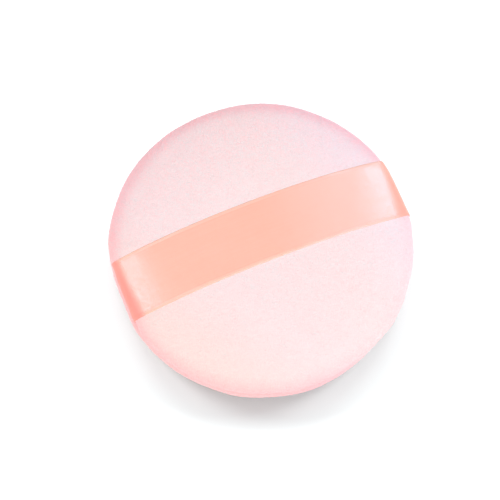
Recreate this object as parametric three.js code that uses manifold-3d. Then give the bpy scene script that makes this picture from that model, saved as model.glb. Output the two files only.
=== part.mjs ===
// A round powder puff. Two velour faces are sewn edge to edge round a wadding core, and a satin
// ribbon is caught in the seam at both ends, so that it stands up in an arch for two fingers.
// The puff lies on its applicator face with the ribbon up. Lengths are millimetres, X runs along
// the ribbon and Z is up. Shapes are drawn about the seam plane and lifted to the resting face.

import * as THREE from "three";
import { mergeVertices } from "three/addons/utils/BufferGeometryUtils.js";
import Module from "manifold-3d";

const wasm = await Module();
wasm.setup();

// Velour faces
const puffRadius = 45;
const handCrown = 7.5;
const applicatorCrown = 8.5;
const restFlat = 0.5;
const rimRise = 2.5;
const creaseDepth = 2.5;
const clothThickness = 1.6;
const handDrawIn = 2;
const applicatorDrawIn = 0.8;
const cornerBlend = 0.6;
const crownFullness = 3.2;

// Seam
const seamGap = 0.3;
const seamThickness = 1;
const seamAllowance = 5;
const stitchInset = 1.2;
const stitchLength = 6.2;
const turningGap = 28;
const closingStitchLength = 5.6;
const threadDiameter = 0.3;
const threadGap = 0.2;
const dipHalfLength = 0.8;
const lockGap = 0.3;

// Ribbon
const ribbonWidth = 19;
const ribbonThickness = 0.4;
const ribbonShift = 1;
const ribbonTail = 4;
const fingerRoom = 5.5;
const archFoot = 3;
const archBlend = 0.5;

// Fits
const fitGap = 0.3;
const weld = 0.001;
const cutOverrun = 0.5;

// Facets
const roundSteps = 42;
const domeSteps = 5;
const curlSteps = 3;
const hiddenDomeSteps = 4;
const hiddenCurlSteps = 2;
const ribbonSteps = 12;
const threadSides = 4;

// Sizes that follow
const creaseRadius = puffRadius - creaseDepth;
const allowanceRadius = creaseRadius - seamAllowance;
const stitchRadius = creaseRadius - stitchInset;
const seamTop = seamGap / 2 + seamThickness;
const threadRise = seamTop + threadGap + threadDiameter / 2;
const grooveRise = threadRise + threadDiameter / 2 + fitGap;
const seamHeight = applicatorCrown - restFlat;
const threadHole = threadDiameter + 2 * threadGap;
const ribbonLift = fitGap + ribbonThickness / 2;
const archCrest = handCrown + fingerRoom + ribbonThickness / 2;
const fullTurn = 2 * Math.PI;
const quarterTurn = fullTurn / 4;
const openSide = -quarterTurn;

/** The larger of two values, rounded off where they cross. */
function softMax(first, second, blend) {
  return (first + second + Math.hypot(first - second, blend)) / 2;
}

/** Radius of the rim at an angle: a circle, drawn in to a straight where the ribbon crosses it. */
function rimRadius(angle, drawIn) {
  const straight = Math.abs(Math.cos(angle)) / (puffRadius - drawIn);
  return 1 / softMax(1 / puffRadius, straight, cornerBlend / puffRadius ** 2);
}

/** Radius that a point of a round form keeps once the ribbon draws its rim in. */
function drawnRadius(radius, angle, drawIn) {
  const pull = 1 - rimRadius(angle, drawIn) / puffRadius;
  return radius * (1 - pull * (radius / puffRadius) ** 2);
}

/** Solid of a closed geometry, its corners merged and triangles without an area left out. */
function solidOf(geometry) {
  const bare = geometry.clone();
  bare.deleteAttribute("normal");
  bare.deleteAttribute("uv");
  const merged = mergeVertices(bare, weld);
  const corners = merged.index.array;
  const triangles = [];
  for (let i = 0; i < corners.length; i += 3) {
    const [a, b, c] = corners.slice(i, i + 3);
    if (a !== b && b !== c && c !== a) triangles.push(a, b, c);
  }
  return new wasm.Manifold(
    new wasm.Mesh({
      numProp: 3,
      vertProperties: merged.attributes.position.array,
      triVerts: new Uint32Array(triangles),
    }),
  );
}

/** Geometry of a solid. */
function geometryOf(solid) {
  const mesh = solid.getMesh();
  const geometry = new THREE.BufferGeometry();
  geometry.setAttribute("position", new THREE.BufferAttribute(mesh.vertProperties, 3));
  geometry.setIndex(new THREE.BufferAttribute(mesh.triVerts, 1));
  geometry.computeVertexNormals();
  return geometry;
}

/** A solid less a list of others. */
function cutBy(solid, cutters) {
  return cutters.reduce((rest, cutter) => rest.subtract(cutter), solid);
}

/** Line of a domed face from its middle out to its widest ring, flat for a depth at the crown. */
function domeLine(reach, crown, flat, steps) {
  const height = crown - rimRise;
  const start = Math.acos((height - flat) / height);
  const line = [new THREE.Vector2(0, crown - flat)];
  for (let step = flat > 0 ? 0 : 1; step <= steps; step++) {
    const turn = start + ((quarterTurn - start) * step) / steps;
    const radius = reach * Math.sin(turn) ** (2 / crownFullness);
    line.push(new THREE.Vector2(radius, rimRise + height * Math.cos(turn)));
  }
  return line;
}

/** Line of a face from below its widest ring round and in to the crease. */
function curlLine(reach, crease, low, steps) {
  const line = [];
  for (let step = 1; step <= steps; step++) {
    const turn = (quarterTurn * step) / steps;
    const radius = crease + (reach - crease) * Math.cos(turn);
    line.push(new THREE.Vector2(radius, rimRise - (rimRise - low) * Math.sin(turn)));
  }
  return line;
}

/** Half section of a face with its seam allowance turned in. */
function faceSection(crown, flat) {
  const innerReach = puffRadius - clothThickness;
  const inside = [
    ...domeLine(innerReach, crown - clothThickness, flat, hiddenDomeSteps),
    ...curlLine(innerReach, creaseRadius, seamTop, hiddenCurlSteps),
    new THREE.Vector2(allowanceRadius, seamTop),
  ];
  return [
    ...domeLine(puffRadius, crown, flat, domeSteps),
    ...curlLine(puffRadius, creaseRadius, seamGap / 2, curlSteps),
    new THREE.Vector2(allowanceRadius, seamGap / 2),
    ...inside.reverse(),
  ];
}

/** Half section of the core above the seam plane, clear of the faces, the seam and its threads. */
function coreSection(crown, flat) {
  const margin = clothThickness + fitGap;
  return [
    ...domeLine(puffRadius - margin, crown - margin, flat, hiddenDomeSteps),
    new THREE.Vector2(creaseRadius, grooveRise),
    new THREE.Vector2(allowanceRadius - fitGap, grooveRise),
  ];
}

/** A half section turned over to the other side of the seam plane. */
function turnedOver(section) {
  return section.map((point) => new THREE.Vector2(point.x, -point.y)).reverse();
}

/** Round body of a half section that runs upwards on its outside, drawn in at the ribbon. */
function roundBody(section, drawIn) {
  const geometry = new THREE.LatheGeometry(section, roundSteps);
  geometry.rotateX(quarterTurn);
  const places = geometry.attributes.position;
  for (let i = 0; i < places.count; i++) {
    const angle = Math.atan2(places.getY(i), places.getX(i));
    const radius = drawnRadius(Math.hypot(places.getX(i), places.getY(i)), angle, drawIn);
    places.setXY(i, radius * Math.cos(angle), radius * Math.sin(angle));
  }
  return solidOf(geometry);
}

/** Line of the ribbon's middle from the top of the arch to the end of one tail in the seam. */
function ribbonHalfLine() {
  const height = handCrown - rimRise;
  const reach = drawnRadius(puffRadius, 0, handDrawIn) + ribbonLift;
  const tailStart = drawnRadius(creaseRadius, 0, handDrawIn) + fitGap + ribbonThickness;
  const line = [];
  for (let step = 0; step <= ribbonSteps; step++) {
    const share = Math.sin((quarterTurn * step) / ribbonSteps);
    const turn = Math.asin(share ** (crownFullness / 2));
    const outward = new THREE.Vector2(
      height * Math.sin(turn) ** (2 - 2 / crownFullness),
      (2 / crownFullness) * puffRadius * Math.cos(turn),
    ).setLength(ribbonLift);
    const along = drawnRadius(puffRadius * share, 0, handDrawIn) + outward.x;
    const seat = rimRise + height * Math.cos(turn) + outward.y;
    const arch = archCrest - (archCrest - archFoot) * (along / reach) ** 2;
    line.push(new THREE.Vector2(along, softMax(seat, arch, archBlend)));
  }
  line.push(...curlLine(reach, tailStart, 0, curlSteps));
  line.push(new THREE.Vector2(tailStart - ribbonTail, 0));
  return line;
}

/** A line mirrored from the positive to the negative side of the arch's middle. */
function mirrored(line) {
  return line.map((point) => new THREE.Vector2(-point.x, point.y)).reverse();
}

/** Direction across a line at one of its points. */
function acrossLine(line, index) {
  const before = line[Math.max(index - 1, 0)];
  const after = line[Math.min(index + 1, line.length - 1)];
  const along = after.clone().sub(before).normalize();
  return new THREE.Vector2(-along.y, along.x);
}

/** Band of a thickness about a line in the XZ plane, of a width along Y. */
function band(line, thickness, width) {
  const above = line.map((point, i) => point.clone().addScaledVector(acrossLine(line, i), thickness / 2));
  const below = line.map((point, i) => point.clone().addScaledVector(acrossLine(line, i), -thickness / 2));
  const outline = new THREE.Shape([...above, ...below.reverse()]);
  const geometry = new THREE.ExtrudeGeometry(outline, { depth: width, bevelEnabled: false });
  geometry.rotateX(quarterTurn);
  geometry.translate(0, ribbonShift + width / 2, 0);
  return solidOf(geometry);
}

/** Room for each ribbon end, from its tail up over the rim, to be cut from both faces. */
function ribbonPockets() {
  const line = ribbonHalfLine().slice(ribbonSteps);
  line[line.length - 1].x -= fitGap;
  return [line, mirrored(line)].map((end) =>
    band(end, ribbonThickness + 2 * fitGap, ribbonWidth + 2 * fitGap),
  );
}

/** Point on the stitch line at an angle and a height above the seam plane. */
function seamPoint(angle, height) {
  const radius = drawnRadius(stitchRadius, angle, handDrawIn);
  return new THREE.Vector3(radius * Math.cos(angle), radius * Math.sin(angle), height);
}

/** Hole down through the seam at an angle, of a length along the seam. */
function seamHole(angle, length) {
  const geometry = new THREE.BoxGeometry(threadHole, length, 2 * (seamTop + cutOverrun));
  geometry.rotateZ(angle);
  geometry.translate(...seamPoint(angle, 0).toArray());
  return solidOf(geometry);
}

/** Path that runs straight from point to point and turns half each bend at the point. */
class StitchPath extends THREE.Curve {
  constructor(points) {
    super();
    this.points = points;
  }

  getPoint(share, target = new THREE.Vector3()) {
    const place = share * (this.points.length - 1);
    const first = Math.min(Math.floor(place), this.points.length - 2);
    return target.lerpVectors(this.points[first], this.points[first + 1], place - first);
  }

  getPointAt(share, target) {
    return this.getPoint(share, target);
  }

  getTangentAt(share, target = new THREE.Vector3()) {
    const at = Math.round(share * (this.points.length - 1));
    const here = this.points[at];
    const before = this.points[at - 1] ?? here;
    const after = this.points[at + 1] ?? here;
    const incoming = here.clone().sub(before).normalize();
    return target.subVectors(after, here).normalize().add(incoming).normalize();
  }
}

/** Thread along a list of points. */
function threadAlong(points) {
  const section = new THREE.Shape().absarc(0, 0, threadDiameter / 2, 0, fullTurn);
  return new THREE.ExtrudeGeometry(section, {
    extrudePath: new StitchPath(points),
    steps: points.length - 1,
    curveSegments: threadSides / 2,
  });
}

/** Thread on one side of the seam that dips into each hole to meet its partner. */
function lockThread(angles, side) {
  const dipAngle = dipHalfLength / stitchRadius;
  const dipRise = lockGap / 2 + threadDiameter / 2;
  const points = angles.flatMap((angle) => [
    seamPoint(angle - dipAngle, side * threadRise),
    seamPoint(angle, side * dipRise),
    seamPoint(angle + dipAngle, side * threadRise),
  ]);
  return threadAlong(points);
}

/** Thread sewn by hand through the seam, over and under by turns. */
function runningThread(angles) {
  const points = angles.flatMap((angle, i) => {
    const side = i % 2 === 0 ? 1 : -1;
    return [seamPoint(angle, side * threadRise), seamPoint(angle, -side * threadRise)];
  });
  return threadAlong(points);
}

// Stitch places, counted from the middle of the turning gap
const stitchCount = Math.round((fullTurn * stitchRadius) / stitchLength);
const skippedStitches = 2 * Math.round(turningGap / stitchLength / 2);
const lockAngles = Array.from(
  { length: stitchCount - skippedStitches },
  (_, i) => openSide + (fullTurn * (i + (skippedStitches + 1) / 2)) / stitchCount,
);
const closingCount = Math.round(turningGap / closingStitchLength);
const closingAngles = Array.from(
  { length: closingCount + 1 },
  (_, i) => openSide + ((i - closingCount / 2) * closingStitchLength) / stitchRadius,
);

const holeLength = 2 * (dipHalfLength + threadGap);
const stitchHoles = [
  ...lockAngles.map((angle) => seamHole(angle, holeLength)),
  ...closingAngles.map((angle) => seamHole(angle, threadHole)),
];
const seamCuts = [...ribbonPockets(), ...stitchHoles];

/** The face on the ribbon's side. */
function handFace() {
  const body = roundBody(faceSection(handCrown, 0).reverse(), handDrawIn);
  return geometryOf(cutBy(body, seamCuts));
}

/** The face that takes up the powder, flat where it rests. */
function applicatorFace() {
  const section = faceSection(applicatorCrown, restFlat);
  const body = roundBody(turnedOver(section).reverse(), applicatorDrawIn);
  return geometryOf(cutBy(body, seamCuts));
}

/** The filling, grooved round its rim for the seam. */
function waddingCore() {
  const section = [
    ...turnedOver(coreSection(applicatorCrown, restFlat)).reverse(),
    ...coreSection(handCrown, 0).reverse(),
  ];
  return geometryOf(roundBody(section, handDrawIn));
}

/** The ribbon, from one end in the seam over the arch to the other. */
function fingerRibbon() {
  const half = ribbonHalfLine();
  const line = [...mirrored(half), ...half.slice(1)];
  return geometryOf(cutBy(band(line, ribbonThickness, ribbonWidth), stitchHoles));
}

/** Cloth finish of a colour. */
function cloth(color, roughness) {
  return new THREE.MeshStandardMaterial({ color, roughness, metalness: 0 });
}

const velour = cloth(0xfee6e6, 0.95);
const satin = cloth(0xfcc7b8, 0.4);
const wadding = cloth(0xf6f2ec, 1);
const thread = cloth(0xf6d3d2, 0.6);

const pieces = [
  ["applicator_face", applicatorFace(), velour],
  ["hand_face", handFace(), velour],
  ["wadding_core", waddingCore(), wadding],
  ["finger_ribbon", fingerRibbon(), satin],
  ["seam_needle_thread", lockThread(lockAngles, 1), thread],
  ["seam_bobbin_thread", lockThread(lockAngles, -1), thread],
  ["closing_thread", runningThread(closingAngles), thread],
];

const group = new THREE.Group();
group.name = "powder_puff";
group.position.z = seamHeight;
for (const [name, geometry, material] of pieces) {
  const mesh = new THREE.Mesh(geometry, material);
  mesh.name = name;
  group.add(mesh);
}

export default group;
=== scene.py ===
"""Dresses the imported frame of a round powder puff: velour faces, wadding, satin ribbon, threads and stage.

Lengths are metres. X runs along the ribbon, Z is up and the puff rests on the floor at z = 0.
"""

import math

import bpy
import numpy as np
from bpy.props import FloatProperty, FloatVectorProperty, IntProperty, PointerProperty
from mathutils import Matrix, Vector, noise


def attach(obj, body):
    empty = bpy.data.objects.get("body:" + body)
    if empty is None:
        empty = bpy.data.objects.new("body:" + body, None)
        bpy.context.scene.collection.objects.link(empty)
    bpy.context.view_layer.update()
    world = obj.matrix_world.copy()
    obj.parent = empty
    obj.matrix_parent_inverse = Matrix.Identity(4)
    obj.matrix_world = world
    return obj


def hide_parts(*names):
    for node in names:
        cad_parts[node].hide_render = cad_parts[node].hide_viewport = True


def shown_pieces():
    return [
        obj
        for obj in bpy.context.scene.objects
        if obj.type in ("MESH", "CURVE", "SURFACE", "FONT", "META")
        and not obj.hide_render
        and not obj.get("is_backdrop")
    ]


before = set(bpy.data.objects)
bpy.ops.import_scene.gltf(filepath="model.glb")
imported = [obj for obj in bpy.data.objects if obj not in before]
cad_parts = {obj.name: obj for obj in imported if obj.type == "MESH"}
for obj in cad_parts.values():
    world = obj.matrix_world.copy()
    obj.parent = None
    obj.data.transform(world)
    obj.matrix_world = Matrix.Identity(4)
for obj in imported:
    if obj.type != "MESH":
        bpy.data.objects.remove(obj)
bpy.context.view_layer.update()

bl_info = {
    "name": "Powder Puff",
    "version": (1, 0, 0),
    "blender": (4, 5, 0),
    "location": "View3D > Sidebar > Powder Puff",
    "description": "Makes the pieces of a velour powder puff with a satin finger ribbon",
    "category": "Add Mesh",
}

MM = 0.001
QUARTER = math.pi / 2
FULL = 2 * math.pi

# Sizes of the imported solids; rises are heights above the seam
PUFF_RADIUS = 45 * MM
RIM_RISE = 2.5 * MM  # widest ring of a face
CREASE_RADIUS = 42.5 * MM  # where the faces meet
ALLOWANCE_RADIUS = 37.5 * MM  # raw edge of the turned-in allowance
CLOTH = 1.6 * MM
REST_FLAT = 0.5 * MM  # how much the powder side's dome is flattened
SEAM_GAP = 0.3 * MM
SEAM_TOP = 1.15 * MM  # rise of an allowance's inner side
SEAM_HEIGHT = 8 * MM
CORNER_BLEND = 0.6 * MM  # softness of the rim's corners beside the ribbon
CROWN_FULLNESS = 3.2  # power of the domes' curve
GROOVE_RISE = 1.95 * MM
FIT_GAP = 0.3 * MM  # between the filling and the cloth
ARCH_FULLNESS = 2.25  # power of the arch's curve
RIBBON_SHIFT = 1 * MM  # of the ribbon's middle, along Y
STITCH_RADIUS = 41.3 * MM
STITCH_COUNT = 42
SKIPPED_STITCHES = 4  # at the turning gap
THREAD_RISE = 1.5 * MM  # a seam thread between two holes
DIP_RISE = 0.3 * MM  # the same thread in a hole
DIP_HALF_LENGTH = 0.8 * MM
CLOSING_STITCHES = 5
CLOSING_STITCH_LENGTH = 5.6 * MM
OPEN_SIDE = -QUARTER  # angle of the turning gap


# Shader helpers


class Wire:
    """An output socket that shader maths can be written with."""

    def __init__(self, graph, socket):
        self.graph = graph
        self.socket = socket

    def math(self, operation, *values, **settings):
        """Adds a Math node for these values."""
        settings["operation"] = operation
        return self.graph.add("ShaderNodeMath", settings, dict(enumerate(values)))

    def __add__(self, other):
        return self.math("ADD", self, other)

    __radd__ = __add__

    def __sub__(self, other):
        return self.math("SUBTRACT", self, other)

    def __rsub__(self, other):
        return self.math("SUBTRACT", other, self)

    def __mul__(self, other):
        return self.math("MULTIPLY", self, other)

    __rmul__ = __mul__

    def __truediv__(self, other):
        return self.math("DIVIDE", self, other)

    def __pow__(self, other):
        return self.math("POWER", self, other)

    def sine(self):
        return self.math("SINE", self)

    def clamped(self):
        return self.math("ADD", self, 0.0, use_clamp=True)

    def apart_from(self, other):
        """How far the value lies from another, either way."""
        return self.math("ABSOLUTE", self - other)

    def ramp(self, low, high):
        """0 below one value and 1 above another, smooth between them."""
        settings = {"interpolation_type": "SMOOTHSTEP"}
        inputs = {"Value": self, "From Min": low, "From Max": high}
        return self.graph.add("ShaderNodeMapRange", settings, inputs)


class Graph:
    """The node tree of a material or the world, emptied."""

    def __init__(self, tree):
        self.tree = tree
        tree.nodes.clear()

    def add(self, kind, settings=None, inputs=None, output=0):
        """Adds a node: its settings are set first, then the values or links of its sockets."""
        node = self.tree.nodes.new(kind)
        for name, value in (settings or {}).items():
            setattr(node, name, value)
        for name, value in (inputs or {}).items():
            socket = node.inputs[name]
            if isinstance(value, Wire):
                self.tree.links.new(value.socket, socket)
            elif isinstance(value, tuple) and socket.type == "RGBA":
                socket.default_value = (*value, 1)
            else:
                socket.default_value = value
        return Wire(self, node.outputs[output]) if len(node.outputs) else None

    def add_whole(self, kind, inputs=None):
        """Adds a node and gives all its outputs by name."""
        node = self.add(kind, {}, inputs).socket.node
        return {output.name: Wire(self, output) for output in node.outputs}

    def place(self):
        """Place on the piece, in metres."""
        return self.add("ShaderNodeTexCoord", output="Object")

    def noise(self, place, size, detail=2.0, roughness=0.5, **more):
        """Noise of a feature size, in the units of its place."""
        inputs = {"Vector": place, "Scale": 1 / size, "Detail": detail, "Roughness": roughness}
        return self.add("ShaderNodeTexNoise", {}, {**inputs, **more})

    def mix(self, factor, first, second, blend="MIX"):
        """Two colours mixed by a factor."""
        # the node's sockets for colours share their names with others, so they go by number
        settings = {"data_type": "RGBA", "blend_type": blend}
        return self.add("ShaderNodeMix", settings, {0: factor, 6: first, 7: second}, 2)

    def split(self, vector):
        """The three parts of a vector."""
        parts = self.add_whole("ShaderNodeSeparateXYZ", {"Vector": vector})
        return parts["X"], parts["Y"], parts["Z"]

    def bump(self, height, distance, strength=1.0, normal=None):
        """Normal of a height map whose full height is a distance in metres."""
        inputs = {"Height": height, "Distance": distance, "Strength": strength}
        if normal is not None:
            inputs["Normal"] = normal
        return self.add("ShaderNodeBump", {}, inputs)

    def finish_backdrop(self, kind, lighting, shown):
        """Ends the tree in one shader for rays that carry light and one for rays that show it."""
        rays = self.add_whole("ShaderNodeLightPath")
        seen = (rays["Is Camera Ray"] + rays["Is Glossy Ray"] + rays["Is Transmission Ray"]).clamped()
        surface = self.add("ShaderNodeMixShader", {}, {0: seen, 1: lighting, 2: shown})
        self.add(kind, {}, {"Surface": surface})

    def finish(self, **inputs):
        """Ends a material in a Principled shader with these sockets."""
        sockets = {name.replace("_", " "): value for name, value in inputs.items()}
        shader = self.add("ShaderNodeBsdfPrincipled", {}, sockets)
        self.add("ShaderNodeOutputMaterial", {}, {"Surface": shader})


def new_material(name, viewport_color):
    """An empty node material and its graph."""
    material = bpy.data.materials.new(name)
    material.use_nodes = True
    material.diffuse_color = (*viewport_color, 1)
    return material, Graph(material.node_tree)


def tinted(color, tint):
    """A colour times a tint, held at 1."""
    return tuple(min(channel * share, 1) for channel, share in zip(color, tint))


# Mesh helpers


def soft_max(first, second, blend):
    """The larger of two values, rounded off where they cross."""
    return (first + second + np.hypot(first - second, blend)) / 2


def unit(vectors):
    """Vectors brought to length 1."""
    return vectors / np.maximum(np.linalg.norm(vectors, axis=1, keepdims=True), 1e-12)


def tangents(line):
    """Directions of a line at its points."""
    return unit(np.gradient(line, axis=0))


def fading(value, start, width):
    """0 up to a start and 1 from a width further on, even between them."""
    return np.clip((value - start) / width, 0, 1)


def eased(share):
    """A share from 0 to 1 that starts and ends smoothly."""
    return share * share * (3 - 2 * share)


def bell(value, width):
    """1 at 0, falling away to both sides."""
    return np.exp(-((value / width) ** 2))


def bells(value, forms):
    """Sum of bells, each with its middle, half width and height."""
    return sum(height * bell(value - middle, width) for middle, width, height in forms)


def drawn_radius(radius, angle, draw_in):
    """Radius that a point keeps once the ribbon draws the rim in by (left, right)."""
    draw = np.where(np.cos(angle) < 0, draw_in[0], draw_in[1])
    straight = np.abs(np.cos(angle)) / (PUFF_RADIUS - draw)
    rim = 1 / soft_max(1 / PUFF_RADIUS, straight, CORNER_BLEND / PUFF_RADIUS**2)
    return radius * (1 - (1 - rim / PUFF_RADIUS) * (radius / PUFF_RADIUS) ** 2)


def dome_line(reach, crown, flat, steps=400):
    """Line of a domed face from its middle out to its widest ring, flat for a depth at the crown."""
    height = crown - RIM_RISE
    start = math.acos((height - flat) / height)
    turn = np.linspace(start, QUARTER, steps)
    radius = reach * np.sin(turn) ** (2 / CROWN_FULLNESS)
    line = np.column_stack([radius, RIM_RISE + height * np.cos(turn)])
    return np.vstack([[0, crown - flat], line]) if flat > 0 else line


def curl_line(reach, crease, low, steps=60):
    """Line of a face from its widest ring round and in to the crease."""
    turn = np.linspace(0, QUARTER, steps)[1:]
    radius = crease + (reach - crease) * np.cos(turn)
    return np.column_stack([radius, RIM_RISE - (RIM_RISE - low) * np.sin(turn)])


def lengths_along(line):
    """Length of a line up to each of its points."""
    return np.concatenate([[0], np.cumsum(np.linalg.norm(np.diff(line, axis=0), axis=1))])


def resampled(line, steps):
    """A line in a number of even steps."""
    lengths = lengths_along(line)
    wanted = np.linspace(0, lengths[-1], steps + 1)
    return np.column_stack([np.interp(wanted, lengths, part) for part in line.T])


def stepped(line, step):
    """A line in even steps of about a length, and its whole length."""
    length = np.linalg.norm(np.diff(line, axis=0), axis=1).sum()
    return resampled(line, int(length / step)), length


def rim_stray(angle):
    """How far the rim strays outwards from its circle at an angle."""
    total = np.zeros_like(angle)
    for middle, width, distance in RIM_STRAYS:
        apart = np.mod(np.degrees(angle) - middle + 180, 360) - 180
        total += distance * bell(apart, width)
    return total


def band(first, second):
    """Quads between two closed rings of points."""
    return np.stack([first, second, np.roll(second, -1), np.roll(first, -1)], -1)


class RoundSheet:
    """A disc of near-square cells, carried on outwards by plain rings of the last ring's points."""

    def __init__(self, core, more):
        side = np.arange(-core, core + 1)
        x, y = np.meshgrid(side, side)
        ring = np.maximum(np.abs(x), np.abs(y))
        safe = np.maximum(ring, 1)
        eighth = np.select(
            [ring == 0, x == ring, y == ring, x == -ring],
            [0 * x, y / safe, 2 - x / safe, 4 - y / safe],
            6 + x / safe,
        )
        width = 2 * core + 1
        ids = np.arange(width * width).reshape(width, width)
        cells = np.stack([ids[:-1, :-1], ids[:-1, 1:], ids[1:, 1:], ids[1:, :-1]], -1).reshape(-1, 4)
        around = 8 * core
        edge = np.flatnonzero(ring.ravel() == core)
        edge = edge[np.argsort(np.mod(eighth.ravel()[edge], 8), kind="stable")]
        rings = [edge] + [width * width + i * around + np.arange(around) for i in range(more)]
        angle = np.mod(eighth.ravel() * math.pi / 4, FULL)
        self.angle = np.concatenate([angle, np.tile(angle[edge], more)])
        self.ring = np.concatenate([ring.ravel(), np.repeat(core + 1 + np.arange(more), around)])
        self.faces = np.vstack([cells, *(band(a, b) for a, b in zip(rings, rings[1:]))])
        self.edge = rings[-1]

    def points(self, line, draw_in):
        """Places of a line's points, one for each ring, drawn in at the ribbon's ends."""
        radius = drawn_radius(line[self.ring, 0], self.angle, draw_in)
        radius += rim_stray(self.angle) * (radius / PUFF_RADIUS) ** STRAY_FADE
        return np.column_stack([radius * np.cos(self.angle), radius * np.sin(self.angle), line[self.ring, 1]])

    def faces_up(self, side):
        """The faces, turned outwards for the upper side (1) or the lower one (-1)."""
        return self.faces if side > 0 else self.faces[:, ::-1]


def as_tuples(faces):
    """Faces in the form that Blender's meshes take."""
    return [tuple(face) for face in faces.tolist()]


def add_object(name, data):
    """A new object in the scene."""
    item = bpy.data.objects.new(name, data)
    bpy.context.scene.collection.objects.link(item)
    return item


def add_mesh(name, points, faces):
    """A new mesh object in the scene."""
    mesh = bpy.data.meshes.new(name)
    mesh.from_pydata([tuple(p) for p in points], [], faces)
    return add_object(name, mesh)


def add_piece(name, points, faces, material, nodes):
    """A mesh object in the row frame that rides on the puff and stands for CAD nodes."""
    piece = add_mesh(name, points, faces)
    piece.data.materials.append(material)
    piece.data.shade_smooth()
    piece.data.validate()
    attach(piece, "root")
    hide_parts(*nodes)
    return piece


def vertex_normals(points, faces):
    """Unit normals at the points of quads."""
    corners = points[faces]
    normal = np.cross(corners[:, 2] - corners[:, 0], corners[:, 3] - corners[:, 1])
    total = np.zeros_like(points)
    for i in range(4):
        np.add.at(total, faces[:, i], normal)
    return unit(total)


def noise_at(points, size, seed):
    """Smooth noise of a feature size at each point, about -1 to 1."""
    shift = Vector((seed, 2.7 * seed, -1.3 * seed))
    return np.array([noise.noise(Vector(p) / size + shift) for p in points])


# Sizes, colours and light that a user would change


def number(name, description, default, **kind):
    return FloatProperty(name=name, description=description, default=default, **kind)


def length_value(name, description, default):
    return number(name, description, default, unit="LENGTH", subtype="DISTANCE")


def color_value(name, description, default):
    return FloatVectorProperty(name=name, description=description, default=default, size=3, subtype="COLOR")


def angle_value(name, description, degrees):
    return number(name, description, math.radians(degrees), subtype="ANGLE")


def power_value(name, description, default):
    return number(name, description, default, unit="POWER")


class PuffSizes(bpy.types.PropertyGroup):
    hand_crown: length_value("Hand crown", "Height of the ribbon's side above the seam", 7.5 * MM)
    applicator_crown: length_value("Applicator crown", "Depth of the powder side below the seam", 8.5 * MM)
    pile_depth: length_value("Pile unevenness", "How far tufts of the pile stand above each other", 0.05 * MM)
    pile_cells: IntProperty(
        name="Pile cells", description="Mesh cells from the middle of a velour face to its widest ring",
        default=120, min=20, step=4,
    )
    ribbon_width: length_value("Ribbon width", "Width of the satin ribbon", 19 * MM)
    ribbon_thickness: length_value("Ribbon thickness", "Thickness between the woven edges", 0.3 * MM)
    arch_crest: length_value("Arch crest", "Height of the ribbon's middle above the seam", 12.15 * MM)
    thread: length_value("Thread", "Thickness of the sewing thread", 0.3 * MM)


class PuffColors(bpy.types.PropertyGroup):
    velour: color_value("Velour", "Tips of the velour's pile", (0.985, 0.765, 0.765))
    # the pile's deeper tone, also used as painted shade at the rim, the far side and the seam
    velour_deep_and_shade: color_value("Velour depth", "Roots of the pile, seen where it opens", (1.0, 0.57, 0.60))
    satin: color_value("Satin", "Satin ribbon", (0.98, 0.505, 0.372))
    thread: color_value("Thread", "Sewing thread", (0.9, 0.62, 0.6))
    wadding: color_value("Wadding", "Polyester filling", (0.9, 0.89, 0.86))


class PuffStage(bpy.types.PropertyGroup):
    azimuth: angle_value("Azimuth", "Camera's turn round the puff", -24)
    elevation: angle_value("Elevation", "Camera's height above the floor's plane", 72.1)
    roll: angle_value("Roll", "Camera's roll", 2)
    distance: length_value("Distance", "Camera's distance from the middle of the seam", 413.5 * MM)
    ambient: number("Ambient light", "Even light from all round", 0.67)
    front: power_value("Front light", "Power of the large softbox", 2.58)
    key: power_value("Right light", "Power of the right softbox", 0.21)
    fill: power_value("Left light", "Power of the left softbox", 0.21)
    low: power_value("Low light", "Power of the low softbox that fills the rim", 1.25)
    floor: number("Floor light", "Light that falls on the floor alone", 3.1)


# Velour material

# Directions in plan: nearest the camera, and where painted light tints turn the pink warm or cool
NEAR_SIDE = (-0.616, -0.788)
WARM_SIDE = (-0.883, -0.469)
COOL_SIDE = (0.98, 0.2)

# Painted light tints of the warm and the cool side
PAINTED_WARM_LIGHT = (1.0, 0.95, 0.89)
PAINTED_COOL_LIGHT = (1.0, 1.03, 1.1)
SPECK_TINT = (0.86, 0.86, 0.86)
SPECK_SHARE = 0.3

# Painted shade: how much deeper pink stands in for shade at the rim, on the far side's slope and at the seam
RIM_PAINTED_SHADE, FAR_RIM_PAINTED_SHADE, WARM_RIM_PAINTED_SHADE = 0.15, 0.85, 0.25
FAR_SLOPE_PAINTED_SHADE = 0.28
SEAM_PAINTED_SHADE, NEAR_SEAM_PAINTED_SHADE = 0.25, 0.8

# The pile's stipple: the sizes of its parts and their shares of its depth
TUFT, CLUMP, PATCH, SPECK = 0.42 * MM, 1.3 * MM, 13 * MM, 0.75 * MM
TUFT_SHARE, CLUMP_SHARE, PATCH_SHARE = 0.8, 0.25, 0.15


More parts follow.
